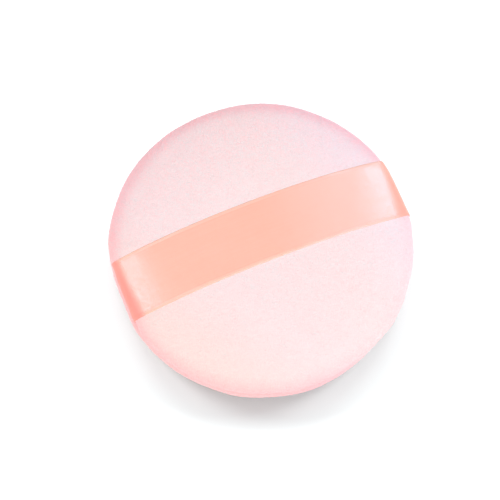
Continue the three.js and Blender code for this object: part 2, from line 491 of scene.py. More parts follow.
def velour_material(colors):
    """Short cotton pile: soft sheen, a fine stipple of tufts, painted shade in deeper pink at the rim, the
    far side and the seam, and painted warm and cool light tints.
    """
    material, graph = new_material("pink_velour", colors.velour)
    place = graph.place()
    x, y, z = graph.split(place)

    def towards(side):
        """How far a place lies towards a side, in radii of the puff."""
        return x * (side[0] / PUFF_RADIUS) + y * (side[1] / PUFF_RADIUS)

    tufts = graph.noise(place, TUFT, 2.5, 0.6)
    clumps = graph.noise(place, CLUMP, 2.0, 0.55)
    patches = graph.noise(place, PATCH, 2.0, 0.5)
    specks = graph.noise(place, SPECK, 1.0, 0.5).ramp(0.6, 0.72)
    reach = ((x * x + y * y) ** 0.5) / PUFF_RADIUS
    far = (y * (1 / PUFF_RADIUS)).ramp(-0.7, 1.0)
    near = towards(NEAR_SIDE).ramp(0.4, 0.8)
    warm = towards(WARM_SIDE).ramp(0.3, 1.02)
    cool = towards(COOL_SIDE).ramp(0.3, 1.0)
    rim = reach.ramp(0.87, 1.01)
    seam = 1 - z.apart_from(SEAM_HEIGHT).ramp(1.8 * MM, 5.2 * MM)
    # painted shade: deeper pink at the rim (most on the far and warm sides), on the far side's slope, and in
    # the seam's crease (most on the near side)
    bend = rim * (RIM_PAINTED_SHADE + far * FAR_RIM_PAINTED_SHADE + warm * WARM_RIM_PAINTED_SHADE)
    bend = bend + reach.ramp(0.3, 1.0) * far * FAR_SLOPE_PAINTED_SHADE
    bend = bend + seam * (SEAM_PAINTED_SHADE + near * NEAR_SEAM_PAINTED_SHADE)
    stipple = (tufts - 0.5) * TUFT_SHARE + (clumps - 0.5) * CLUMP_SHARE + (patches - 0.5) * PATCH_SHARE
    # the pile's random tone plus the painted shade
    depth = (bend + stipple).clamped()
    color = graph.mix(depth, tuple(colors.velour), tuple(colors.velour_deep_and_shade))
    # painted light tints: warmer towards the lower left, cooler towards the right
    color = graph.mix(warm, color, PAINTED_WARM_LIGHT, "MULTIPLY")
    color = graph.mix(cool, color, PAINTED_COOL_LIGHT, "MULTIPLY")
    color = graph.mix(specks * SPECK_SHARE, color, tinted(colors.velour, SPECK_TINT))
    relief = graph.bump(tufts, 0.2 * MM)
    relief = graph.bump(clumps, 0.2 * MM, 0.5, relief)
    graph.finish(
        Base_Color=color, Roughness=0.95 - tufts * 0.1, Normal=relief, Specular_IOR_Level=0.2,
        Sheen_Weight=0.25, Sheen_Roughness=0.5, Sheen_Tint=(1.0, 0.85, 0.88),
        Subsurface_Weight=0.5, Subsurface_Radius=(1.0, 0.4, 0.4), Subsurface_Scale=1.5 * MM,
    )
    return material


# Satin material

# Size of the cloth map, a unit square with the ribbon along its middle
MAP_LENGTH = 150 * MM
MAP_WIDTH = 100 * MM

# The weave: its floats and how they are drawn out, slubs, clouds, and the plain edge
FLOAT_WIDTH, FLOAT_STRETCH = 0.16 * MM, 0.08
SLUB, CLOUD = 1.1 * MM, 16 * MM
FLOAT_SHARE, SLUB_SHARE, CLOUD_SHARE = 0.35, 0.25, 0.3
RIB_SPACING = 0.48 * MM
EDGE_LINE, EDGE_LINE_WIDTH = 1.15 * MM, 0.35 * MM

# Tints of the satin: darker and paler floats, a painted sheen on the right half, and painted shade on the
# ends that turn down
DEEP_TINT = (0.99, 0.86, 0.82)
PALE_TINT = (1.01, 1.12, 1.16)
RIGHT_PAINTED_SHEEN = (1.0, 1.14, 1.3)
LEFT_END_PAINTED_SHADE = (0.92, 0.6, 0.61)
RIGHT_END_PAINTED_SHADE = (0.97, 0.83, 0.84)

# Where the ends turn down and take their painted shade, from the ribbon's middle, and the slant of that line
TURN_START, TURN_END = 40.65 * MM, 43.95 * MM
LEFT_SLANT, RIGHT_SLANT = 0.06, 0.11


def satin_material(colors, width, length):
    """Woven satin: fine floats along the ribbon, a plain-woven edge and a soft gloss."""
    material, graph = new_material("peach_satin", colors.satin)
    cloth = graph.add("ShaderNodeUVMap", {"uv_map": "cloth"})
    along, across, _ = graph.split(cloth)

    def inset(distance):
        """How far from the map's middle a place is that lies so far in from the edge."""
        return (width / 2 - distance) / MAP_WIDTH

    def ramp_along(start, end):
        """0 up to one distance from the ribbon's left tail and 1 beyond another."""
        return along.ramp(start / MAP_LENGTH, end / MAP_LENGTH)

    stretched = graph.add("ShaderNodeCombineXYZ", {}, {"X": along * FLOAT_STRETCH, "Y": across, "Z": 0.0})
    floats = graph.noise(stretched, FLOAT_WIDTH / MAP_WIDTH, 2.0, 0.6)
    slubs = graph.noise(stretched, SLUB / MAP_WIDTH, 2.0, 0.5)
    cloudy = graph.noise(cloth, CLOUD / MAP_WIDTH, 2.0, 0.5)
    uneven = (floats - 0.5) * FLOAT_SHARE + (slubs - 0.5) * SLUB_SHARE + (cloudy - 0.5) * CLOUD_SHARE
    tone = (0.5 + uneven).clamped()
    middle = across.apart_from(0.5)
    edge = middle.ramp(inset(1.2 * MM), inset(0.9 * MM))
    line = 1 - middle.apart_from(inset(EDGE_LINE)).ramp(0.0, EDGE_LINE_WIDTH / MAP_WIDTH)
    ribs = (along * (FULL * MAP_LENGTH / RIB_SPACING)).sine() * edge
    right = ramp_along(45 * MM, 63 * MM)
    slant = (across - 0.5) * (right * (RIGHT_SLANT - LEFT_SLANT) + LEFT_SLANT)
    turned = (along.apart_from(length / 2 / MAP_LENGTH) - slant).ramp(
        TURN_START / MAP_LENGTH, TURN_END / MAP_LENGTH
    )
    satin = tuple(colors.satin)
    pale = tinted(satin, PALE_TINT)
    # painted shade on the ends that turn down over the rim, deeper on the left
    ends = graph.mix(right, tinted(satin, LEFT_END_PAINTED_SHADE), tinted(satin, RIGHT_END_PAINTED_SHADE))
    color = graph.mix(tone, tinted(satin, DEEP_TINT), pale)
    # painted sheen: the right half paler and pinker
    color = graph.mix(ramp_along(51 * MM, 84 * MM), color, tinted(satin, RIGHT_PAINTED_SHEEN))
    # pale edge, fading out on the right: partly the woven edge's paler tone, partly a painted highlight
    color = graph.mix(edge * (1 - ramp_along(51 * MM, 75 * MM)) * 0.8, color, pale)
    # the turned ends get their painted shade, and the woven edge line a deeper tone
    color = graph.mix((turned + line * 0.15).clamped(), color, ends)
    relief = graph.bump(floats, 0.05 * MM, 0.6)
    relief = graph.bump(ribs, 0.03 * MM, 0.5, relief)
    graph.finish(
        Base_Color=color, Roughness=0.2 + edge * 0.03 + turned * 0.27, Normal=relief,
        IOR=1.6, Specular_IOR_Level=1.0, Specular_Tint=(0.8, 0.85, 1.0),
        Subsurface_Weight=0.5, Subsurface_Radius=(1.0, 0.6, 0.5), Subsurface_Scale=0.4 * MM,
    )
    return material


# Thread and wadding materials

THREAD_FIBRE = 0.12 * MM
WADDING_FIBRE, WADDING_CLUMP = 0.7 * MM, 6 * MM
THREAD_SHADE = (0.8, 0.8, 0.8)
WADDING_SHADE = (0.86, 0.86, 0.86)


def thread_material(colors):
    """Spun thread: two plies with a fibrous surface."""
    material, graph = new_material("spun_thread", colors.thread)
    fibres = graph.noise(graph.place(), THREAD_FIBRE, 3.0, 0.6)
    thread = tuple(colors.thread)
    color = graph.mix(fibres.clamped(), tinted(thread, THREAD_SHADE), thread)
    relief = graph.bump(fibres, 0.03 * MM, 0.7)
    graph.finish(Base_Color=color, Roughness=0.65, Normal=relief, Sheen_Weight=0.2)
    return material


def wadding_material(colors):
    """Polyester wadding: white, matted fibres."""
    material, graph = new_material("white_wadding", colors.wadding)
    place = graph.place()
    clumps = graph.noise(place, WADDING_CLUMP, 3.0, 0.6)
    fibres = graph.noise(place, WADDING_FIBRE, 4.0, 0.65, Distortion=1.5)
    wadding = tuple(colors.wadding)
    matted = (fibres * 0.7 + clumps * 0.3).clamped()
    color = graph.mix(matted, tinted(wadding, WADDING_SHADE), wadding)
    relief = graph.bump(fibres, 0.5 * MM, 0.8)
    graph.finish(Base_Color=color, Roughness=0.95, Normal=relief, Sheen_Weight=0.3)
    return material


# Velour faces

# How far the ribbon draws each rim in at its left and right end
HAND_DRAW = (1.9 * MM, 0.65 * MM)
APPLICATOR_DRAW = (0.8 * MM, 0.6 * MM)

# Where the sewn rim strays from a circle: angle and half width in degrees, distance outwards
RIM_STRAYS = (
    (66, 14, 0.15 * MM), (90, 18, -0.3 * MM), (158, 10, 0.30 * MM), (168, 5, -0.35 * MM),
    (190, 12, -0.15 * MM), (208, 12, -0.2 * MM), (239, 9, 0.35 * MM), (262, 12, 0.3 * MM),
    (296, 11, -0.4 * MM), (309, 8, 0.45 * MM), (330, 12, 0.25 * MM), (347, 3.5, 0.4 * MM),
)
STRAY_FADE = 8  # power by which the strays fade towards the middle

# Rings of the mesh beyond a face's widest ring, and how much coarser its inner sheet is
CURL_RINGS = 12
ALLOWANCE_RINGS = 5
BACKING_RINGS = 3
COARSER = 4

# Unevenness of the cloth: feature size, height and shift of the seed
LUMPS = ((11 * MM, 0.16 * MM, 0), (4.5 * MM, 0.06 * MM, 5))

# Tufts of the pile: their size, and the shares that neighbours have together and alone
PILE_TUFT, TOGETHER, ALONE = 0.8 * MM, 0.9, 0.45
TUFT_SEED_SHIFT = 9
RELIEF_FADE = 6  # rings over which the relief fades out before the crease
LYING_FADE = 0.6 * MM

# The trial cloth that the filling presses out
CLOTH_PRESSURE = 0.1
CLOTH_FRAMES = 20
CLOTH_SCALE = 20
CLOTH_LIMIT = 0.8 * MM  # the furthest move
CLOTH_SWELL = 0.4 * MM  # room that the crown leaves for it
TRIAL_RINGS = 28
POINTS_PER_STITCH = 3


def face_lines(crown, flat, core):
    """Outer and inner line of a velour face, a point for each ring of its two sheets."""

    def whole_line(reach, top, low, over, round_rim, inwards):
        """A sheet's line over the dome, round the rim and in along the allowance, in so many steps each."""
        curl = np.vstack([[reach, RIM_RISE], curl_line(reach, CREASE_RADIUS, low)])
        allowance = np.array([[CREASE_RADIUS, low], [ALLOWANCE_RADIUS, low]])
        dome = resampled(dome_line(reach, top, flat), over)
        return np.vstack([dome, resampled(curl, round_rim)[1:], resampled(allowance, inwards)[1:]])

    outer = whole_line(PUFF_RADIUS, crown, SEAM_GAP / 2, core, CURL_RINGS, ALLOWANCE_RINGS)
    backing = (core // COARSER, BACKING_RINGS, BACKING_RINGS)
    return outer, whole_line(PUFF_RADIUS - CLOTH, crown - CLOTH, SEAM_TOP, *backing)


def pocket(points, side, sizes):
    """Lifts the seam's cloth off the ribbon's tails."""
    across = np.abs(points[:, 1] - RIBBON_SHIFT)
    beside = fading(-across, -(sizes.ribbon_width / 2 + 1.2 * MM), 1.0 * MM)
    low = fading(-side * points[:, 2], -2.2 * MM, 1.2 * MM)
    far = fading(np.hypot(points[:, 0], points[:, 1]), 30 * MM, 3 * MM)
    lift = sizes.ribbon_thickness / 2 + 0.05 * MM
    points[:, 2] += side * lift * beside * low * far


def held_by_ribbon(points, sizes):
    """1 where the ribbon's ends hold the velour down, 0 elsewhere."""
    across = np.abs(points[:, 1] - RIBBON_SHIFT)
    beside = fading(-across, -(sizes.ribbon_width / 2 + 1.5 * MM), 1.5 * MM)
    return beside * fading(np.abs(points[:, 0]), 33 * MM, 3 * MM)


def settled(points, faces, held):
    """Where a cloth's points come to rest when pressed outwards and held at some of them."""
    scene = bpy.context.scene
    trial = add_mesh("settling_cloth", points * CLOTH_SCALE, faces)
    trial.vertex_groups.new(name="held").add(held, 1.0, "REPLACE")
    cloth = trial.modifiers.new("Cloth", "CLOTH")
    cloth.settings.vertex_group_mass = "held"
    cloth.settings.quality = 10
    cloth.settings.mass = 0.3
    cloth.settings.use_pressure = True
    cloth.settings.uniform_pressure_force = CLOTH_PRESSURE
    cloth.settings.effector_weights.gravity = 0
    cloth.collision_settings.use_collision = False
    for step in range(1, CLOTH_FRAMES + 1):
        scene.frame_set(step)
    view = trial.evaluated_get(bpy.context.evaluated_depsgraph_get())
    moved = np.zeros(len(points) * 3)
    view.data.vertices.foreach_get("co", moved)
    scene.frame_set(1)
    bpy.data.meshes.remove(trial.data)  # takes the trial object with it
    return moved.reshape(-1, 3) / CLOTH_SCALE


def filled_out(line, side, draw_in):
    """How far each place of a face moves when the filling presses on it, for rings out to the crease."""
    rings, around = TRIAL_RINGS, POINTS_PER_STITCH * STITCH_COUNT
    short = resampled(line, rings)
    angle = OPEN_SIDE + FULL * np.arange(around) / around
    spread = np.repeat(np.arange(1, rings + 1), around)
    turn = np.tile(angle, rings)
    radius = drawn_radius(short[spread, 0], turn, draw_in)
    points = np.column_stack([radius * np.cos(turn), radius * np.sin(turn), side * short[spread, 1]])
    points = np.vstack([[0, 0, side * short[0, 1]], points])
    ids = np.arange(rings * around).reshape(rings, around) + 1
    follow = np.roll(ids, -1, axis=1)
    quads = np.stack([ids[:-1], ids[1:], follow[1:], follow[:-1]], -1).reshape(-1, 4)
    faces = quads.tolist() + [[0, int(a), int(b)] for a, b in zip(ids[0], follow[0])]
    if side < 0:
        faces = [f[::-1] for f in faces]
    held = ids[-1, ::POINTS_PER_STITCH].tolist()
    moved = settled(points, faces, held) - points
    size = np.linalg.norm(moved, axis=1, keepdims=True)
    moved *= np.minimum(1, CLOTH_LIMIT / np.maximum(size, 1e-9))
    moves = np.vstack([np.repeat(moved[:1], around, axis=0), moved[1:]]).reshape(rings + 1, around, 3)
    # the sewn edge keeps its size: each ring is let out by as much as it drew in
    outward = np.column_stack([np.cos(angle), np.sin(angle), np.zeros(around)])
    return moves - (moves * outward).sum(-1).mean(axis=1)[:, None, None] * outward


def read_moves(moves, ring_place, angle):
    """Moves of a cloth at places between its rings and between its points round it."""
    rings, around = moves.shape[:2]
    low = np.clip(ring_place.astype(int), 0, rings - 2)
    out = (ring_place - low)[:, None]
    turn = np.mod(angle - OPEN_SIDE, FULL) / FULL * around
    first = turn.astype(int) % around
    past = (turn - np.floor(turn))[:, None]
    second = (first + 1) % around
    inside = moves[low, first] * (1 - past) + moves[low, second] * past
    outside = moves[low + 1, first] * (1 - past) + moves[low + 1, second] * past
    return inside * (1 - out) + outside * out


def pile_relief(points, ring, crown, flat, sizes, seed):
    """How far the lumps and tufts of a face lift each of its points."""
    rng = np.random.default_rng(seed)
    lumps = sum(noise_at(points, size, seed + shift) * height for size, height, shift in LUMPS)
    tufts = noise_at(points, PILE_TUFT, seed + TUFT_SEED_SHIFT) * TOGETHER + rng.normal(0, ALONE, len(points))
    if flat > 0:
        lying = fading(np.abs(points[:, 2]), crown - flat - LYING_FADE, LYING_FADE)
        lumps = np.minimum(lumps * (1 - lying), lumps.max())
    shown = fading(-ring, 2 - sizes.pile_cells - CURL_RINGS, RELIEF_FADE)
    return shown * (lumps + (tufts - 1) * sizes.pile_depth)


def velour_face(name, node, side, crown, flat, draw_in, material, sizes, seed):
    """A closed shell of velour on one side of the seam: pile outside, backing cloth inside."""
    core = sizes.pile_cells
    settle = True
    outer_line, inner_line = face_lines(crown - CLOTH_SWELL if settle else crown, flat, core)
    outer = RoundSheet(core, CURL_RINGS + ALLOWANCE_RINGS)
    inner = RoundSheet(core // COARSER, 2 * BACKING_RINGS)
    points = outer.points(outer_line, draw_in) * [1, 1, side]
    backing = inner.points(inner_line, draw_in) * [1, 1, side]
    loose = 1 - held_by_ribbon(points, sizes) if side > 0 else np.ones(len(points))
    relief = loose * pile_relief(points, outer.ring, crown, flat, sizes, seed)
    points += vertex_normals(points, outer.faces_up(side)) * relief[:, None]
    if settle:
        crease = core + CURL_RINGS
        lengths = lengths_along(outer_line[: crease + 1])
        moves = filled_out(outer_line[: crease + 1], side, draw_in)
        ring_place = lengths[np.minimum(outer.ring, crease)] / lengths[-1] * TRIAL_RINGS
        free = loose * (1 - fading(outer.ring, crease, ALLOWANCE_RINGS))
        points += read_moves(moves, ring_place, outer.angle) * free[:, None]
        points[:, 2] = side * np.maximum(side * points[:, 2], SEAM_GAP / 2)
    if flat > 0:
        points[:, 2] = np.maximum(points[:, 2], flat - crown)
    for sheet in (points, backing):
        pocket(sheet, side, sizes)
        sheet[:, 2] += SEAM_HEIGHT
    faces = as_tuples(outer.faces_up(side)) + as_tuples(inner.faces_up(-side) + len(points))
    rim, hem = outer.edge, inner.edge + len(points)
    for i in range(len(hem)):
        fine = [int(rim[(COARSER * i + j) % len(rim)]) for j in range(COARSER + 1)]
        strip = fine[::-1] + [int(hem[i]), int(hem[(i + 1) % len(hem)])]
        faces.append(tuple(strip if side > 0 else strip[::-1]))
    piece = add_piece(name, np.vstack([points, backing]), faces, material, [node])


class PUFF_OT_velour_faces(bpy.types.Operator):
    """Makes both velour faces with their seam allowances turned in"""

    bl_idname = "puff.velour_faces"
    bl_label = "Velour Faces"

    def execute(self, context):
        sizes, colors = context.scene.puff_sizes, context.scene.puff_colors
        velour = velour_material(colors)
        velour_face("hand_velour", "hand_face", 1, sizes.hand_crown, 0, HAND_DRAW, velour, sizes, 3)
        velour_face(
            "applicator_velour", "applicator_face", -1, sizes.applicator_crown, REST_FLAT,
            APPLICATOR_DRAW, velour, sizes, 17,
        )
        return {"FINISHED"}


# Wadding

# Cells of the filling's mesh from its middle to its widest ring, and its rings beyond
WADDING_CELLS, WADDING_RINGS = 48, 6

# Unevenness of the filling: feature size, share and seed; where it is cut off, and its height
WADDING_LUMPS = ((6 * MM, 0.5, 31), (1.6 * MM, 0.35, 41))
LUMP_LIMIT, LUMP_HEIGHT = 0.6, 0.4 * MM


def core_line(crown, flat):
    """Outer line of the filling on one side of the seam, down to the groove round it."""
    margin = CLOTH + FIT_GAP
    dome = resampled(dome_line(PUFF_RADIUS - margin, crown - margin, flat), WADDING_CELLS)
    groove = np.array([dome[-1], [CREASE_RADIUS, GROOVE_RISE], [ALLOWANCE_RADIUS - FIT_GAP, GROOVE_RISE]])
    return np.vstack([dome, resampled(groove, WADDING_RINGS)[1:]])


class PUFF_OT_wadding(bpy.types.Operator):
    """Makes the lumpy filling between the two faces"""

    bl_idname = "puff.wadding"
    bl_label = "Wadding"

    def execute(self, context):
        sizes, colors = context.scene.puff_sizes, context.scene.puff_colors
        sheet = RoundSheet(WADDING_CELLS, WADDING_RINGS)
        shown = fading(-sheet.ring, -(WADDING_CELLS + 4), RELIEF_FADE)
        halves = []
        for side, crown, flat in ((1, sizes.hand_crown, 0), (-1, sizes.applicator_crown, REST_FLAT)):
            points = sheet.points(core_line(crown, flat), HAND_DRAW) * [1, 1, side]
            lumps = sum(noise_at(points, size, seed) * share for size, share, seed in WADDING_LUMPS)
            sunk = shown * (np.minimum(lumps, LUMP_LIMIT) - LUMP_LIMIT) * LUMP_HEIGHT
            points += vertex_normals(points, sheet.faces_up(side)) * sunk[:, None]
            halves.append(points)
        top, under = halves
        wall = band(sheet.edge, sheet.edge + len(top))
        faces = as_tuples(np.vstack([sheet.faces_up(1), sheet.faces_up(-1) + len(top), wall]))
        points = np.vstack([top, under]) + [0, 0, SEAM_HEIGHT]
        wadding = wadding_material(colors)
        piece = add_piece("wadding_fill", points, faces, wadding, ["wadding_core"])
        return {"FINISHED"}


# Ribbon

RIBBON_STEP = 0.4 * MM
RIBBON_COLUMNS = 61
TAIL_LENGTH = 4 * MM  # caught in the seam
TAIL_START = 0.3 * MM  # outside the crease
SEAT_GAP = 0.08 * MM  # between the ribbon and the velour that it lies on

# The soft crease that slants across the right half: its place on X and its slant, then its ridge and
# the valley beside it, each with a place, half width and height
CREASE_PLACE, CREASE_SLANT = 18.5 * MM, 0.78
CREASE_FORMS = ((0, 2.4 * MM, 0.05 * MM), (6.5 * MM, 4.5 * MM, -0.07 * MM))

# The slight wave: its height and its lengths along and across
WAVE_HEIGHT, WAVE_ALONG, WAVE_ACROSS = 0.05 * MM, 6.5 * MM, 7 * MM
TAUT_END = 9 * MM  # lies without crease or wave

# The woven edge: a corded line and a groove further in, each with a place, half width and height
EDGE_FORMS = ((0.5 * MM, 0.35 * MM, 0.006 * MM), (1.15 * MM, 0.22 * MM, -0.007 * MM))
EDGE_ROUNDING = 90  # power of the edge's curve
THINNEST = 0.25  # the edge's own thickness, as a share

# Where along X the ribbon takes on the shape of the rim under it
RIM_FOLLOW_START, RIM_FOLLOW_LENGTH = 26 * MM, 16 * MM


def ribbon_half_line(sizes, draw):
    """Line of the ribbon's middle from the top of the arch to the end of one tail."""
    draw_in = (draw, draw)
    lift = sizes.ribbon_thickness / 2 + SEAT_GAP
    height = sizes.hand_crown - RIM_RISE
    zero = np.zeros(1)
    reach = drawn_radius(PUFF_RADIUS, zero, draw_in)[0] + lift
    tail = drawn_radius(CREASE_RADIUS, zero, draw_in)[0] + TAIL_START
    share = np.sin(np.linspace(0, QUARTER, 600))
    turn = np.arcsin(share ** (CROWN_FULLNESS / 2))
    rising = height * np.sin(turn) ** (2 - 2 / CROWN_FULLNESS)
    outward = unit(np.column_stack([rising, 2 / CROWN_FULLNESS * PUFF_RADIUS * np.cos(turn)])) * lift
    along = drawn_radius(PUFF_RADIUS * share, np.zeros_like(share), draw_in) + outward[:, 0]
    seat = RIM_RISE + height * np.cos(turn) + outward[:, 1]
    # the arch lands on the rim where both have the same height and slope
    slope = np.gradient(seat, along)
    landing = int(np.argmax(sizes.arch_crest - seat + slope * along / ARCH_FULLNESS <= 0))
    fall = (sizes.arch_crest - seat[landing]) / along[landing] ** ARCH_FULLNESS
    arch = sizes.arch_crest - fall * along**ARCH_FULLNESS
    line = np.column_stack([along, np.where(np.arange(len(along)) < landing, arch, seat)])
    curl = curl_line(reach, tail, 0)
    return np.vstack([line, curl, [[tail - TAIL_LENGTH, 0]]])


def ribbon_line(sizes):
    """The ribbon's whole line from its left tail to its right one, and its length."""
    left = ribbon_half_line(sizes, HAND_DRAW[0]) * [-1, 1]
    right = ribbon_half_line(sizes, HAND_DRAW[1])
    return stepped(np.vstack([left[::-1], right[1:]]), RIBBON_STEP)


def rim_reach(places, side):
    """How much further along X the hand face's rim reaches at places across the ribbon than in its middle."""
    angle = np.linspace(-0.5, 0.5, 801) + (0 if side > 0 else math.pi)
    radius = drawn_radius(PUFF_RADIUS, angle, HAND_DRAW) + rim_stray(angle)
    y, x = radius * np.sin(angle), np.abs(radius * np.cos(angle))
    order = np.argsort(y)
    middle = drawn_radius(PUFF_RADIUS, angle[400:401], HAND_DRAW)
    return side * (np.interp(places, y[order], x[order]) - middle)


def crease_and_wave(x, place, width, length):
    """How far the ribbon's middle surface stands off its line."""
    free = eased(fading(np.minimum(place, length - place), TAUT_END, TAUT_END))
    crease = bells(x - CREASE_PLACE - width * CREASE_SLANT, CREASE_FORMS)
    return free * (crease + WAVE_HEIGHT * np.sin(x / WAVE_ALONG + width / WAVE_ACROSS))


def half_thickness(width, sizes):
    """Half the ribbon's thickness at places across it, with its woven edges."""
    half, away = sizes.ribbon_width / 2, np.abs(width)
    rounding = np.sqrt(np.clip(1 - (away / half) ** EDGE_ROUNDING, 0, 1))
    relief = bells(half - away, EDGE_FORMS)
    return (sizes.ribbon_thickness / 2 + relief) * np.maximum(rounding, THINNEST)


def two_sided_faces(rows, columns):
    """Quads of a closed strap: its top grid, the same grid below, and the wall round both."""
    ids = np.arange(rows * columns).reshape(rows, columns)
    top = np.stack([ids[:-1, :-1], ids[1:, :-1], ids[1:, 1:], ids[:-1, 1:]], -1).reshape(-1, 4)
    under = top[:, ::-1] + rows * columns
    loop = np.concatenate([ids[:-1, 0], ids[-1, :-1], ids[:0:-1, -1], ids[0, :0:-1]])
    follow = np.roll(loop, -1)
    wall = np.stack([follow, loop, loop + rows * columns, follow + rows * columns], -1)
    return as_tuples(np.vstack([top, under, wall]))


def add_cloth_map(piece, places):
    """Gives a piece the cloth map, from the place on the map of each of its points."""
    layer = piece.data.uv_layers.new(name="cloth")
    corner = np.zeros(len(piece.data.loops), np.int32)
    piece.data.loops.foreach_get("vertex_index", corner)
    layer.data.foreach_set("uv", places[corner].astype(np.float32).ravel())


class PUFF_OT_ribbon(bpy.types.Operator):
    """Makes the satin ribbon, from one tail in the seam over the arch to the other"""

    bl_idname = "puff.ribbon"
    bl_label = "Finger Ribbon"

    def execute(self, context):
        sizes, colors = context.scene.puff_sizes, context.scene.puff_colors
        line, length = ribbon_line(sizes)
        across = sizes.ribbon_width * (np.linspace(0, 1, RIBBON_COLUMNS) - 0.5)
        place = np.linspace(0, length, len(line))[:, None] * np.ones(RIBBON_COLUMNS)
        width = across[None, :] * np.ones((len(line), 1))
        x, z = line[:, :1], line[:, 1:]
        tangent = tangents(line)
        over_x, over_z = -tangent[:, 1:], tangent[:, :1]
        ends = np.where(x > 0, rim_reach(across + RIBBON_SHIFT, 1), rim_reach(across + RIBBON_SHIFT, -1))
        follow_rim = fading(np.abs(x), RIM_FOLLOW_START, RIM_FOLLOW_LENGTH) ** 2 * ends
        ease, thick = crease_and_wave(x, place, width, length), half_thickness(width, sizes)
        sheets = []
        for side in (1, -1):
            off = ease + side * thick
            sheet = [x + follow_rim + over_x * off, width + RIBBON_SHIFT, z + over_z * off + SEAM_HEIGHT]
            sheets.append(np.stack(sheet, -1).reshape(-1, 3))
        satin = satin_material(colors, sizes.ribbon_width, length)
        faces = two_sided_faces(len(line), RIBBON_COLUMNS)
        piece = add_piece("satin_ribbon", np.vstack(sheets), faces, satin, ["finger_ribbon"])
        # the ribbon leaves no shade on the velour beside it
        piece.visible_diffuse = False
        flat = np.column_stack([place.ravel() / MAP_LENGTH, width.ravel() / MAP_WIDTH + 0.5])
        add_cloth_map(piece, np.vstack([flat, flat]))
        return {"FINISHED"}


# Threads

THREAD_DRAW = (2 * MM, 2 * MM)  # how far the ribbon draws the stitch line in
THREAD_STEP = 0.16 * MM
CORNER_STEPS = 8  # of the smooth line between two points of a stitched path
TWIST_LENGTH = 0.9 * MM
PLY_SIDES = 6

# A ply's distance from the thread's middle, and its radius, as shares of the thread
PLY_PLACE, PLY_RADIUS = 0.24, 0.26


def seam_point(angle, height):
    """Point on the stitch line at an angle and a height above the seam."""
    radius = float(drawn_radius(STITCH_RADIUS, np.array([angle]), THREAD_DRAW)[0])
    return np.array([radius * math.cos(angle), radius * math.sin(angle), SEAM_HEIGHT + height])


def rounded(points):
    """A smooth line through points."""
    points = np.array(points)
    padded_ends = np.vstack([2 * points[0] - points[1], points, 2 * points[-1] - points[-2]])
    share = np.linspace(0, 1, CORNER_STEPS, endpoint=False)[:, None]
    parts = []
    for a, b, c, d in zip(padded_ends, padded_ends[1:], padded_ends[2:], padded_ends[3:]):
        bend = share * (1 - share) * ((1 - share) * (c - a) - share * (d - b)) / 4
        parts.append(b + eased(share) * (c - b) + bend)
    return np.vstack([*parts, points[-1:]])


def ply_tube(line, radius):
    """Points and faces of a closed tube along a line."""
    tangent = tangents(line)
    up = np.cross(tangent, [0, 0, 1])
    upright = np.linalg.norm(up, axis=1) < 0.2
    up[upright] = np.cross(tangent[upright], [1, 0, 0])
    up = unit(up)
    over = np.cross(tangent, up)
    turn = np.linspace(0, FULL, PLY_SIDES, endpoint=False)
    ring = np.cos(turn)[None, :, None] * up[:, None] + np.sin(turn)[None, :, None] * over[:, None]
    points = (line[:, None] + radius * ring).reshape(-1, 3)
    ids = np.arange(len(points)).reshape(len(line), PLY_SIDES)
    near, far = ids[:-1], ids[1:]
    wall = np.stack([near, np.roll(near, -1, 1), np.roll(far, -1, 1), far], -1).reshape(-1, 4)
    return points, as_tuples(wall) + [tuple(ids[0][::-1].tolist()), tuple(ids[-1].tolist())]


def twisted_thread(name, node, path, material, sizes):
    """Two plies twisted round each other along a stitched path."""
    line, length = stepped(rounded(path), THREAD_STEP)
    tangent = tangents(line)
    side = unit(np.cross(tangent, [0, 0, 1]))
    over = np.cross(side, tangent)
    points, faces = [], []
    for ply in range(2):
        turn = (np.linspace(0, length, len(line)) / TWIST_LENGTH * FULL + ply * math.pi)[:, None]
        ply_line = line + (np.cos(turn) * side + np.sin(turn) * over) * sizes.thread * PLY_PLACE
        tube, walls = ply_tube(ply_line, sizes.thread * PLY_RADIUS)
        points.append(tube)
        faces += [tuple(i + ply * len(tube) for i in f) for f in walls]
    add_piece(name, np.vstack(points), faces, material, [node])


class PUFF_OT_threads(bpy.types.Operator):
    """Makes the two seam threads and the hand-sewn closing thread"""

    bl_idname = "puff.threads"
    bl_label = "Sewing Threads"

    def execute(self, context):
        sizes, colors = context.scene.puff_sizes, context.scene.puff_colors
        material = thread_material(colors)
        angles = [
            OPEN_SIDE + FULL * (i + (SKIPPED_STITCHES + 1) / 2) / STITCH_COUNT
            for i in range(STITCH_COUNT - SKIPPED_STITCHES)
        ]
        dip = DIP_HALF_LENGTH / STITCH_RADIUS
        for name, side in (("seam_needle_thread", 1), ("seam_bobbin_thread", -1)):
            stitch = ((-dip, THREAD_RISE), (0, DIP_RISE), (dip, THREAD_RISE))
            path = [seam_point(angle + turn, side * rise) for angle in angles for turn, rise in stitch]
            twisted_thread(f"twisted_{name}", name, path, material, sizes)
        path = []
        for i in range(CLOSING_STITCHES + 1):
            angle = OPEN_SIDE + (i - CLOSING_STITCHES / 2) * CLOSING_STITCH_LENGTH / STITCH_RADIUS
            side = 1 if i % 2 == 0 else -1
            path += [seam_point(angle, side * THREAD_RISE), seam_point(angle, -side * THREAD_RISE)]
        twisted_thread("twisted_closing_thread", "closing_thread", path, material, sizes)
        return {"FINISHED"}


# Stage

WHITE = (1.0, 1.0, 1.0)

# The floor: half its side, its colour as light falls back from it, and its colour and glow as seen
FLOOR_REACH = 6.0
FLOOR_BOUNCE = (0.75, 0.75, 0.75)
FLOOR_SEEN = (0.70, 0.75, 0.755)
FLOOR_GLOW = 0.16

